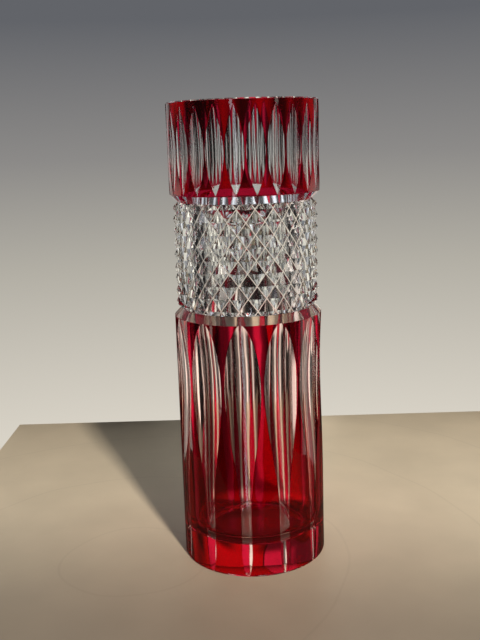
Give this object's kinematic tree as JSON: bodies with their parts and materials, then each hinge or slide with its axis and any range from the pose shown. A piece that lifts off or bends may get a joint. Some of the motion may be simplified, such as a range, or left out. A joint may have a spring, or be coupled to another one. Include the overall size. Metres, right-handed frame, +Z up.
{
  "type": "glass vase",
  "caption": "Straight cylindrical vase of cut lead crystal, cased in ruby on its collar and fluted body, with a clear diamond-cut neck band.",
  "frame": {"origin": "centre of the foot, on the surface that the vase stands on", "axes": "+Z up along the vase's axis, -Y towards the middle of one body flute"},
  "size_m": [0.096, 0.096, 0.3],
  "materials": {
    "lead_crystal": "polished clear lead crystal",
    "ruby_casing": "polished ruby glass, fused over the crystal"
  },
  "bodies": {
    "root": {"crystal_body": "lead_crystal", "ruby_collar": "ruby_casing", "ruby_panel_01": "ruby_casing", "ruby_panel_02": "ruby_casing", "ruby_panel_03": "ruby_casing", "ruby_panel_04": "ruby_casing", "ruby_panel_05": "ruby_casing", "ruby_panel_06": "ruby_casing", "ruby_panel_07": "ruby_casing", "ruby_panel_08": "ruby_casing", "ruby_panel_09": "ruby_casing", "ruby_panel_10": "ruby_casing", "ruby_panel_11": "ruby_casing", "ruby_panel_12": "ruby_casing"}
  },
  "joints": []
}
